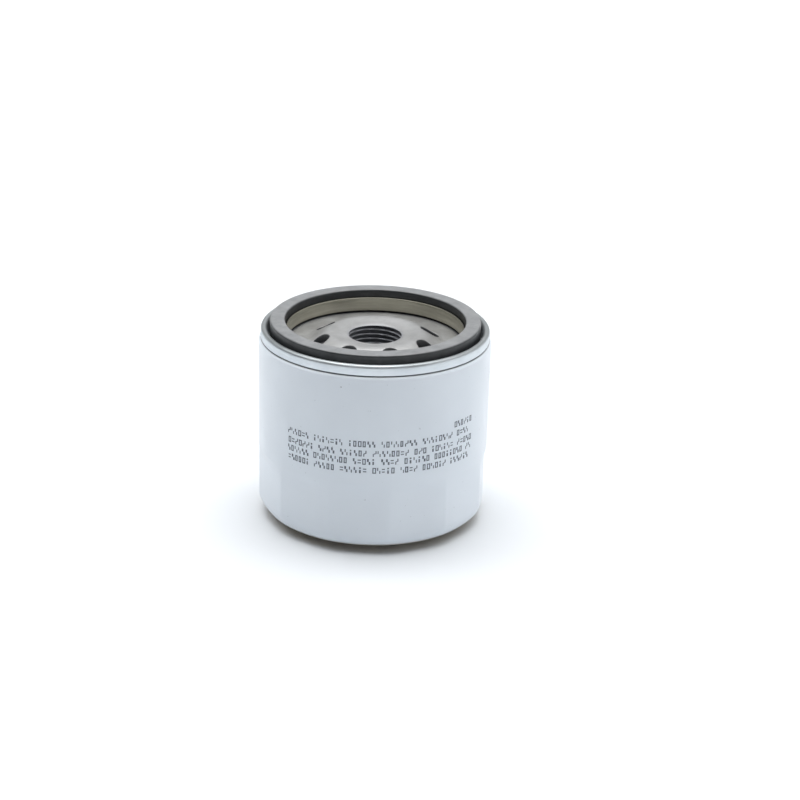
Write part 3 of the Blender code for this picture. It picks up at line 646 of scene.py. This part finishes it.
def make_lid(mat):
    """The seaming lid with its groove for the gasket and its rolled edge."""
    lip_inner, seam_radius = reach("seaming_lid")
    low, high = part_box("seaming_lid")
    gasket_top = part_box("gasket")[1].z
    _, shell_radius = reach("shell")
    chuck_outer = shell_radius - SHOULDER_RADIUS - SHELL_WALL - GAP
    seam_inner = seam_radius - LID_WALL
    crown = (seam_inner - chuck_outer) / 2
    crown_r = (seam_inner + chuck_outer) / 2
    crown_z = high.z - crown - LID_WALL
    seam_bottom = high.z - SEAM_HEIGHT
    lip_z = gasket_top - LIP_DEPTH
    inner_bend = lip_inner + LID_BEND
    outer_bend = chuck_outer - LID_BEND
    bend_z = low.z + LID_BEND
    lip_round = LID_WALL / 2
    lip_low = seam_bottom + SEAM_LIP_ROUND
    profile = arc(inner_bend, bend_z, LID_BEND, 180.0, 270.0, 8)
    profile += arc(outer_bend, bend_z, LID_BEND, 270.0, 360.0, 8)
    profile += arc(crown_r, crown_z, crown, 180.0, 0.0, 10)
    profile += arc(seam_inner + SEAM_LIP_ROUND, lip_low, SEAM_LIP_ROUND, 180.0, 270.0, 4)
    profile += arc(seam_radius - SEAM_LIP_ROUND, lip_low, SEAM_LIP_ROUND, 270.0, 360.0, 4)
    profile += arc(crown_r, crown_z, crown + LID_WALL, 0.0, 180.0, 16)
    profile += arc(outer_bend, bend_z, LID_BEND - LID_WALL, 360.0, 270.0, 6)
    profile += arc(inner_bend, bend_z, LID_BEND - LID_WALL, 270.0, 180.0, 6)
    profile += arc(lip_inner + lip_round, lip_z - lip_round, lip_round, 0.0, 180.0, 8)
    return place(lathe("lid_sheet", profile), "can", "seaming_lid", mat)


def make_gasket(mat):
    """The square-cut rubber ring with rounded edges."""
    inner, outer = reach("gasket")
    low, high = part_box("gasket")
    edge = GASKET_EDGE
    small = GASKET_EDGE / 2
    profile = arc(inner + small, low.z + small, small, 180.0, 270.0, 4)
    profile += arc(outer - small, low.z + small, small, 270.0, 360.0, 4)
    profile += arc(outer - edge, high.z - edge, edge, 0.0, 90.0, 8)
    profile += arc(inner + edge, high.z - edge, edge, 90.0, 180.0, 8)
    return place(lathe("gasket_ring", profile), "can", "gasket", mat)


def plate_height(radius, crest_top):
    """Height of the plate's upper surface at this distance from the axis."""
    if radius < HUB_CREST:
        mouth = THREAD_MAJOR + MOUTH_ROUND
        return crest_top - HUB_DISH * (1.0 - smooth((radius - mouth) / (HUB_CREST - mouth)))
    return crest_top - HUB_RISE * smooth((radius - HUB_CREST) / (HUB_FOOT - HUB_CREST))


def thread_groove(turns, height, low, high):
    """Depth of the right-hand thread's groove, for arrays of angles in turns and heights."""
    phase = (height / THREAD_PITCH - turns) % 1.0
    groove = np.clip(THREAD_ROOT - THREAD_FLANK * np.abs(phase - 0.5), 0.0, 1.0)
    run_out = np.clip(np.minimum(height - low, high - height) / (THREAD_RUN_OUT * THREAD_PITCH), 0.0, 1.0)
    return THREAD_DEPTH * groove * run_out


def make_base_plate(mat):
    """The thick plate: raised hub, threaded collar and inlet holes with rounded rims."""
    _, plate_radius = reach("base_plate")
    low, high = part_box("base_plate")
    crest_top = high.z
    minor = THREAD_MAJOR - THREAD_DEPTH
    edge = PLATE_EDGE
    mouth_top = crest_top - HUB_DISH
    bore_top = mouth_top - MOUTH_CHAMFER
    bore_bottom = low.z + THREAD_DEPTH / 2
    rows = round((bore_top - bore_bottom) / THREAD_PITCH * THREAD_ROWS)
    slope = [HUB_CREST + (HUB_FOOT - HUB_CREST) * step / HUB_STEPS for step in range(HUB_STEPS + 1)]
    mouth = THREAD_MAJOR + MOUTH_ROUND
    dish = [mouth + (HUB_CREST - mouth) * step / DISH_STEPS for step in range(DISH_STEPS)]
    profile = [(plate_radius - edge, plate_height(plate_radius, crest_top))]
    profile += [(r, plate_height(r, crest_top)) for r in reversed(dish + slope)]
    profile += [(THREAD_MAJOR + out, mouth_top - drop) for out, drop in MOUTH_LIP]
    profile += [(minor, bore_top + (bore_bottom - bore_top) * row / rows) for row in range(rows + 1)]
    profile += [(minor + THREAD_DEPTH / 2, low.z), (COLLAR_RADIUS - edge, low.z)]
    profile += [(COLLAR_RADIUS, low.z + edge)]
    under = crest_top - PLATE_THICKNESS
    profile += arc(COLLAR_RADIUS + COLLAR_FILLET, under - COLLAR_FILLET, COLLAR_FILLET, 180.0, 90.0, 6)
    profile += [(r, plate_height(r, crest_top) - PLATE_THICKNESS) for r in slope]
    foot = plate_height(plate_radius, crest_top) - PLATE_THICKNESS
    profile += [(plate_radius - edge, foot), (plate_radius, foot + edge),
                (plate_radius, foot + PLATE_THICKNESS - edge)]
    mesh = lathe_mesh("threaded_plate", profile, PLATE_SEGMENTS)

    def press(points):
        radius = np.hypot(points[:, 0], points[:, 1])
        turns = np.arctan2(points[:, 1], points[:, 0]) / math.tau
        groove = thread_groove(turns, points[:, 2], bore_bottom, bore_top)
        depth = np.where(np.abs(radius - minor) < 1e-5, groove, 0.0)
        points[:, :2] *= (1.0 + depth / radius)[:, None]
        return points

    move_points(mesh, press)
    plate = link("threaded_plate", mesh)
    subtract(plate, inlet_cutter(crest_top))
    return place(plate, "can", "base_plate", mat)


def inlet_cutter(crest_top):
    """The inlet holes as one cutter, whose ends flare out along the plate's two surfaces."""
    work = bmesh.new()
    sides = INLET_SIDES
    # Each ring is its height above the plate's upper surface and how far it flares out from the hole's wall
    rings = ((0.0006, INLET_ROUND + 0.0004), (0.0, INLET_ROUND), (-0.00008, 0.55 * INLET_ROUND),
             (-0.00022, 0.18 * INLET_ROUND), (-0.0005, 0.0), (0.0005 - PLATE_THICKNESS, 0.0),
             (0.0002 - PLATE_THICKNESS, 0.2 * INLET_ROUND), (-PLATE_THICKNESS, 0.6 * INLET_ROUND),
             (-PLATE_THICKNESS - 0.0006, INLET_ROUND + 0.0004))
    for hole in range(INLET_COUNT):
        turn = math.radians(INLET_PHASE + 360.0 * hole / INLET_COUNT)
        center = Vector((INLET_PITCH_RADIUS * math.sin(turn), -INLET_PITCH_RADIUS * math.cos(turn), 0.0))
        loops = []
        for drop, flare in rings:
            loop = []
            for side in range(sides):
                angle = math.tau * side / sides
                spot = center + (INLET_RADIUS + flare) * Vector((math.cos(angle), math.sin(angle), 0.0))
                surface = plate_height(spot.length, crest_top)
                loop.append(work.verts.new((spot.x, spot.y, surface + drop)))
            loops.append(loop)
        for upper, lower in zip(loops, loops[1:]):
            for side in range(sides):
                after = (side + 1) % sides
                work.faces.new((upper[side], upper[after], lower[after], lower[side]))
        work.faces.new(loops[0])
        work.faces.new(loops[-1])
    bmesh.ops.triangulate(work, faces=[f for f in work.faces if len(f.verts) > 4])
    bmesh.ops.recalc_face_normals(work, faces=work.faces)
    return link("inlet_cutter", mesh_from(work, "inlet_cutter"))


def glyph(kind, width):
    """Bars of one placeholder mark, as (left, low, right, high) in its own cell. None of them is a letter."""
    stroke = MARK_STROKE
    tall = MARK_HEIGHT
    half = tall / 2
    third = width / 3
    bars = {
        "frame": [(0.0, 0.0, stroke, tall), (width - stroke, 0.0, width, tall),
                  (stroke, 0.0, width - stroke, stroke), (stroke, tall - stroke, width - stroke, tall)],
        "fall": [(0.0, half, stroke, tall), (width - stroke, 0.0, width, half)],
        "rise": [(0.0, 0.0, stroke, half), (width - stroke, half, width, tall),
                 (third, half - stroke / 2, 2 * third, half + stroke / 2)],
        "checks": [(0.0, half, width / 2, tall), (width / 2, 0.0, width, half)],
        "block": [(0.2 * width, 0.0, 0.7 * width, 0.55 * tall),
                  (0.2 * width, 0.75 * tall, 0.7 * width, tall)],
        "shelves": [(0.0, 0.2 * tall, width, 0.2 * tall + stroke),
                    (0.0, 0.65 * tall, width, 0.65 * tall + stroke)],
    }
    return bars[kind]


def make_print(mat):
    """Rows of plain placeholder marks printed on the front of the can."""
    _, shell_radius = reach("shell")
    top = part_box("gasket")[1].z
    pick = random.Random(11)
    work = bmesh.new()
    kinds = ("frame", "fall", "rise", "checks", "block", "shelves", "checks", "frame")

    def bar(angle, low, width, tall):
        """One slab of ink whose left edge is at this angle from the front."""
        turn = angle + width / 2 / shell_radius
        thick = INK_THICKNESS + INK_SINK
        size = Matrix.Diagonal((width, thick, tall, 1.0))
        out = Matrix.Translation((0.0, -shell_radius + INK_SINK - thick / 2, low + tall / 2))
        bmesh.ops.create_cube(work, size=1.0, matrix=Matrix.Rotation(turn, 4, "Z") @ out @ size)

    for below, start, end in PRINT_ROWS:
        angle = math.radians(start)
        low = top - below - MARK_HEIGHT / 2
        word = pick.randint(*WORD_LENGTHS)
        while angle < math.radians(end):
            width = MARK_PITCH * pick.uniform(*MARK_WIDTHS)
            for left, bottom, right, high in glyph(pick.choice(kinds), width):
                bar(angle + left / shell_radius, low + bottom, right - left, high - bottom)
            word -= 1
            angle += MARK_PITCH * (1.0 if word else 2.0) / shell_radius
            word = word or pick.randint(*WORD_LENGTHS)
    below, angle, size = SPECK
    bar(math.radians(angle), top - below - size / 2, size, size)
    marks = link("print_marks", mesh_from(work, "print_marks"))
    marks.data.materials.append(mat)
    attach(marks, "can")


def rounded(corners, steps=4):
    """A closed profile whose corners, given as (radius, height, rounding), are rounded."""
    points = []
    count = len(corners)
    for index, (r, z, rounding) in enumerate(corners):
        here = Vector((r, z))
        before = Vector(corners[index - 1][:2]) - here
        after = Vector(corners[(index + 1) % count][:2]) - here
        cut = min(rounding / math.tan(before.angle(after) / 2.0), 0.48 * before.length, 0.48 * after.length)
        if cut < 1e-6:
            points.append((r, z))
            continue
        start = here + before.normalized() * cut
        end = here + after.normalized() * cut
        for step in range(steps + 1):
            share = step / steps
            spot = start.lerp(here, share).lerp(here.lerp(end, share), share)
            points.append((spot.x, spot.y))
    return points


def turned(node, body, corners, mat, segments=SMALL_SEGMENTS):
    """A turned piece with rounded corners that stands for a CAD node."""
    return place(lathe(node + "_turned", rounded(corners), segments), body, node, mat)


def make_caps(mat):
    """The pressed end caps, with the neck that the valve's sleeve goes over, and the spring's cup."""
    bend = CAP_BEND
    inside = bend - SHEET
    tiny = TINY_ROUND
    inner, outer = reach("element_top_cap")
    low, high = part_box("element_top_cap")
    cap = low.z + CAP_RIM
    turned("element_top_cap", "element", [
        (inner, high.z, tiny), (inner, cap - SHEET, bend), (outer - SHEET, cap - SHEET, inside),
        (outer - SHEET, low.z, tiny), (outer, low.z, tiny), (outer, cap, bend),
        (inner + SHEET, cap, inside), (inner + SHEET, high.z, tiny)], mat)
    inner, outer = reach("element_bottom_cap")
    low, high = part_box("element_bottom_cap")
    turned("element_bottom_cap", "element", [
        (inner, low.z, tiny), (outer, low.z, bend), (outer, high.z, tiny), (outer - SHEET, high.z, tiny),
        (outer - SHEET, low.z + SHEET, inside), (inner, low.z + SHEET, tiny)], mat)
    inner, outer = reach("spring_cup")
    low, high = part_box("spring_cup")
    turned("spring_cup", "element", [
        (inner, high.z - SHEET, tiny), (outer - SHEET, high.z - SHEET, inside), (outer - SHEET, low.z, tiny),
        (outer, low.z, tiny), (outer, high.z, bend), (inner, high.z, tiny)], mat)


def make_beads(compound, adhesive):
    """The bead of sealing compound and the two rings of adhesive, with their edges slumped."""
    for node, body, slot, mat in (("seam_compound", "can", "seam_compound", compound),
                                  ("top_adhesive", "element", "adhesive", adhesive),
                                  ("bottom_adhesive", "element", "adhesive", adhesive)):
        inner, outer = reach(node)
        low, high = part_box(node)
        slump = (high.z - low.z) / 3
        turned(node, body, [(inner, low.z, slump), (outer, low.z, slump), (outer, high.z, slump),
                                  (inner, high.z, slump)], mat, BEAD_SEGMENTS)


def make_center_tube(mat):
    """The perforated tube."""
    inner, outer = reach("center_tube")
    low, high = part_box("center_tube")
    tiny = TINY_ROUND
    tube = turned("center_tube", "element", [
        (inner, low.z, tiny), (outer, low.z, tiny), (outer, high.z, tiny), (inner, high.z, tiny)], mat,
                  TUBE_SEGMENTS)
    work = bmesh.new()
    spacing = (high.z - low.z) / (TUBE_HOLE_ROWS + 1)
    for row in range(TUBE_HOLE_ROWS):
        for column in range(TUBE_HOLE_COLUMNS):
            turn = Matrix.Rotation(math.tau * (column + row % 2 / 2) / TUBE_HOLE_COLUMNS, 4, "Z")
            spot = Matrix.Translation((inner, 0.0, low.z + spacing * (row + 1)))
            bmesh.ops.create_cone(work, cap_ends=True, segments=24, radius1=TUBE_HOLE_RADIUS,
                                  radius2=TUBE_HOLE_RADIUS, depth=TUBE_CUT_DEPTH,
                                  matrix=turn @ spot @ Matrix.Rotation(math.pi / 2, 4, "Y"))
    subtract(tube, link("cutter", mesh_from(work, "cutter")))


def make_media(mat):
    """The pleated paper with rounded folds."""
    _, outer = reach("pleated_media")
    inner = reach("center_tube")[1] + MEDIA_GAP
    low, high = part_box("pleated_media")
    half = PAPER_THICKNESS / 2
    folds = ((outer - half, PLEAT_HALF[0], 0.0, 1.0), (inner + half, PLEAT_HALF[1], 0.5, -1.0))
    middle = []
    for pleat in range(PLEAT_COUNT):
        for radius, width, turn, out in folds:
            angle = math.tau * (pleat + turn) / PLEAT_COUNT
            for step in range(PLEAT_STEPS + 1):
                across = math.pi * (step / PLEAT_STEPS - 0.5)
                along = radius + out * width * (math.cos(across) - 1.0)
                side = width * math.sin(across)
                middle.append(Vector((along * math.cos(angle) - side * math.sin(angle),
                                      along * math.sin(angle) + side * math.cos(angle))))
    count = len(middle)
    loops = [[], [], [], []]
    work = bmesh.new()
    for index, here in enumerate(middle):
        along = (middle[(index + 1) % count] - middle[index - 1]).normalized()
        out = Vector((along.y, -along.x)) * half
        for loop, spot, height in ((loops[0], here + out, low.z), (loops[1], here + out, high.z),
                                   (loops[2], here - out, high.z), (loops[3], here - out, low.z)):
            loop.append(work.verts.new((spot.x, spot.y, height)))
    for first, second in zip(loops, loops[1:] + loops[:1]):
        for index in range(count):
            after = (index + 1) % count
            work.faces.new((first[index], first[after], second[after], second[index]))
    bmesh.ops.recalc_face_normals(work, faces=work.faces)
    mesh = mesh_from(work, "pleated_paper")
    shade(mesh)
    place(link("pleated_paper", mesh), "element", "pleated_media", mat)


def make_bypass(mat, rubber):
    """The bypass valve's seat, cage, poppet and rubber washer."""
    tiny = TINY_ROUND
    lip = 2.0 * tiny
    soft = 3.0 * tiny
    port, outer = reach("bypass_seat")
    low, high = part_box("bypass_seat")
    top = high.z - SEAT_LIP_HEIGHT
    bottom = top - SEAT_WALL
    spigot = port + SPIGOT_OFFSET
    turned("bypass_seat", "element", [
        (port, high.z, lip), (port, bottom, tiny), (spigot, bottom, tiny), (spigot, low.z, tiny),
        (spigot + SPIGOT_WALL, low.z, tiny), (spigot + SPIGOT_WALL, bottom, tiny), (outer, bottom, tiny),
        (outer, top, tiny), (port + SEAT_LIP_WIDTH, top, lip), (port + SEAT_LIP_WIDTH, high.z, lip)], mat)

    bore, seal_radius = reach("bypass_seal")
    seal_low, seal_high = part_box("bypass_seal")
    turned("bypass_seal", "bypass", [
        (bore, seal_low.z, tiny), (seal_radius, seal_low.z, soft), (seal_radius, seal_high.z, soft),
        (bore, seal_high.z, tiny)], rubber)

    foot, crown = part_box("bypass_cage")
    stem_bore, flange = reach("bypass_cage")
    wall = seal_radius + CAGE_SIDE_GAP
    bend = CAGE_BEND
    inside = bend - SHEET
    cage = turned("bypass_cage", "element", [
        (flange, foot.z, tiny), (flange, foot.z + SHEET, tiny), (wall + SHEET, foot.z + SHEET, inside),
        (wall + SHEET, crown.z, bend), (stem_bore, crown.z, tiny), (stem_bore, crown.z - SHEET, tiny),
        (wall, crown.z - SHEET, inside), (wall, foot.z, bend)], mat)
    work = bmesh.new()
    middle = (foot.z + crown.z) / 2
    for index in range(CAGE_WINDOWS):
        turn = Matrix.Rotation(math.tau * index / CAGE_WINDOWS, 4, "Z")
        size = Matrix.Diagonal((CAGE_CUT_DEPTH, *CAGE_WINDOW, 1.0))
        bmesh.ops.create_cube(work, size=1.0, matrix=turn @ Matrix.Translation((wall, 0.0, middle)) @ size)
    corners = [edge for edge in work.edges
               if abs((edge.verts[0].co - edge.verts[1].co).z) < 1e-6
               and edge.calc_length() < 1.1 * CAGE_CUT_DEPTH]
    bmesh.ops.bevel(work, geom=corners, offset=CAGE_WINDOW_ROUND, segments=4, profile=0.5, affect="EDGES")
    subtract(cage, link("cutter", mesh_from(work, "cutter")))

    low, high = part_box("bypass_poppet")
    disc = seal_high.z + GAP
    turned("bypass_poppet", "bypass", [
        (0.0, low.z, 0.0), (POPPET_NOSE, low.z, 4.0 * tiny), (POPPET_NOSE, disc, tiny),
        (seal_radius, disc, lip), (seal_radius, disc + POPPET_DISC, lip),
        (POPPET_STEM, disc + POPPET_DISC, 4.0 * tiny),
        (POPPET_STEM, high.z, 5.0 * tiny), (0.0, high.z, 0.0)], mat, POPPET_SEGMENTS)


def make_spring(node, body, joint, wire, turns, spans, anchor_high, travel, mat):
    """A coil spring with closed ends."""
    low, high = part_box(node)
    steps = round(turns * TURN_STEPS)
    sides = WIRE_SIDES
    points = []
    for step in range(steps + 1):
        share = step / steps
        turn = math.tau * turns * share
        radius = spans[0] + (spans[1] - spans[0]) * share
        rise = share - 0.5 * math.sin(math.tau * share) / math.tau
        center = Vector((radius, 0.0, low.z + wire + (high.z - low.z - 2.0 * wire) * rise))
        for side in range(sides):
            angle = math.tau * side / sides
            spot = center + wire * Vector((math.cos(angle), 0.0, math.sin(angle)))
            points.append(Matrix.Rotation(turn, 4, "Z") @ spot)
    faces = []
    for step in range(steps):
        for side in range(sides):
            after = (side + 1) % sides
            faces.append((step * sides + side, step * sides + after, (step + 1) * sides + after,
                          (step + 1) * sides + side))
    faces.append(tuple(range(sides)))
    faces.append(tuple(steps * sides + side for side in reversed(range(sides))))
    mesh = closed_mesh(node + "_coil", points, faces)
    shade(mesh)
    spring = place(link(node + "_coil", mesh), body, node, mat)
    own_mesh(spring)


def make_valve(mat):
    """The rubber anti-drainback valve: a sleeve and a soft conical skirt with a rounded lip."""
    inner, outer = reach("anti_drainback_valve")
    low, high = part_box("anti_drainback_valve")
    skirt = VALVE_SKIRT
    sleeve = inner + VALVE_WALL
    knee_z = low.z + VALVE_SLEEVE_RISE
    edge = VALVE_EDGE
    profile = arc(inner + edge, low.z + edge, edge, 180.0, 270.0, 4)
    profile += arc(sleeve - edge, low.z + edge, edge, 270.0, 360.0, 4)
    profile += [(sleeve, knee_z - skirt)]
    profile += [(sleeve + VALVE_KNEE, knee_z - 0.9 * skirt)]
    profile += [(outer - edge, high.z - skirt)]
    profile += arc(outer - edge, high.z - edge, edge, 0.0, 90.0, 5)
    inwards, down = VALVE_LIP_FALL
    profile += [(outer - VALVE_LIP, high.z), (outer - VALVE_LIP - inwards, high.z - down)]
    profile += [(sleeve + VALVE_KNEE, knee_z + down), (sleeve - edge, knee_z)]
    profile += arc(inner + edge, knee_z - edge, edge, 90.0, 180.0, 4)
    rubber = lathe("drainback_rubber", profile, TUBE_SEGMENTS)
    return place(rubber, "drainback_valve", "anti_drainback_valve", mat)


# ---------------------------------------------------------------- stage

def make_floor():
    """A plain, nearly white floor."""
    mesh = bpy.data.meshes.new("floor")
    corners = [(-1, -1), (1, -1), (1, 1), (-1, 1)]
    mesh.from_pydata([(x * FLOOR_HALF, y * FLOOR_HALF, 0.0) for x, y in corners], [], [(0, 1, 2, 3)])
    floor = link("floor", mesh)
    mesh.materials.append(Surface("floor_white", (0.74, 0.765, 0.79), 0.6).mat)


def make_camera(aim_height):
    """The camera looks down at the filter from the front."""
    data = bpy.data.cameras.new("camera")
    data.lens = CAMERA_LENS
    data.sensor_width = SENSOR_WIDTH
    data.shift_x, data.shift_y = CAMERA_SHIFT
    data.clip_end = CAMERA_CLIP
    camera = bpy.data.objects.new("camera", data)
    bpy.context.scene.collection.objects.link(camera)
    back = Vector((0.0, -math.cos(CAMERA_ELEVATION), math.sin(CAMERA_ELEVATION)))
    camera.location = Vector((0.0, 0.0, aim_height)) + back * CAMERA_DISTANCE
    tilt = Matrix.Rotation(math.pi / 2 - CAMERA_ELEVATION, 4, "X")
    camera.rotation_euler = (tilt @ Matrix.Rotation(CAMERA_ROLL, 4, "Z")).to_euler()
    bpy.context.scene.camera = camera


def area_light(name, location, size, power, target=LIGHT_TARGET, spread=math.pi):
    """A soft rectangular light that faces the target."""
    data = bpy.data.lights.new(name, "AREA")
    data.shape = "RECTANGLE"
    data.size, data.size_y = size
    data.energy = power
    data.spread = spread
    light = bpy.data.objects.new(name, data)
    bpy.context.scene.collection.objects.link(light)
    light.location = location
    light.rotation_euler = (Vector(target) - Vector(location)).to_track_quat("-Z", "Y").to_euler()


def make_light():
    """Soft surroundings, brightest behind and to the right, softboxes, and a light on the far floor."""
    world = bpy.data.worlds.new("studio")
    bpy.context.scene.world = world
    world.use_nodes = True
    tree = world.node_tree
    coordinates = tree.nodes.new("ShaderNodeTexCoord")
    split = tree.nodes.new("ShaderNodeSeparateXYZ")
    tree.links.new(coordinates.outputs["Generated"], split.inputs["Vector"])
    brightness = SKY_BASE
    for axis, gain in SKY_GAIN:
        lit = math_node(tree, "MAXIMUM", math_node(tree, "MULTIPLY", split.outputs[axis], gain), 0.0)
        brightness = math_node(tree, "ADD", brightness, lit)
    tree.links.new(brightness, tree.nodes["Background"].inputs["Color"])
    for name, location, size, power in SOFTBOXES:
        area_light(name, location, size, power)
    area_light("floor_light", FLOOR_LIGHT_PLACE, FLOOR_LIGHT_SIZE, FLOOR_LIGHT_POWER, FLOOR_LIGHT_TARGET,
               FLOOR_LIGHT_SPREAD)
    bpy.context.scene.view_settings.view_transform = "Standard"


# ---------------------------------------------------------------- build

for unused in list(bpy.data.objects):
    bpy.data.objects.remove(unused)
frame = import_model()

make_camera(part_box("gasket")[1].z - AIM_BELOW_GASKET)
make_light()
make_floor()

steel = steel_inside("pressed_steel", (0.42, 0.43, 0.44), (0.60, 0.61, 0.62), 0.34)
wire = steel_inside("spring_steel", (0.24, 0.25, 0.26), (0.40, 0.41, 0.42), 0.3, 400.0)
dark_rubber = rubber_inside()
finishes = {
    "pressed_steel": steel,
    "spring_steel": wire,
    "valve_rubber": dark_rubber,
    "filter_paper": paper(),
    "seam_compound": soft_compound("seam_compound", (0.28, 0.23, 0.16), (0.40, 0.34, 0.25)),
    "adhesive": soft_compound("adhesive", (0.18, 0.16, 0.13), (0.28, 0.25, 0.20)),
}
for subpart in frame["record"]["subparts"]:
    if subpart["material_slot"] in finishes:
        node = frame["nodes"][subpart["node"]]
        node.data.materials.clear()
        node.data.materials.append(finishes[subpart["material_slot"]])

make_shell(can_paint())
make_lid(lid_steel())
make_gasket(gasket_rubber())
make_base_plate(plate_steel(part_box("base_plate")[1].z - HUB_DISH))
make_print(ink())
make_valve(dark_rubber)
make_caps(steel)
make_beads(finishes["seam_compound"], finishes["adhesive"])
make_center_tube(steel)
make_media(finishes["filter_paper"])
make_bypass(steel, dark_rubber)
make_spring("element_spring", "can", "element_float", *ELEMENT_SPRING, False, ELEMENT_TRAVEL, wire)
make_spring("bypass_spring", "element", "bypass_lift", *BYPASS_SPRING, True, BYPASS_TRAVEL, wire)
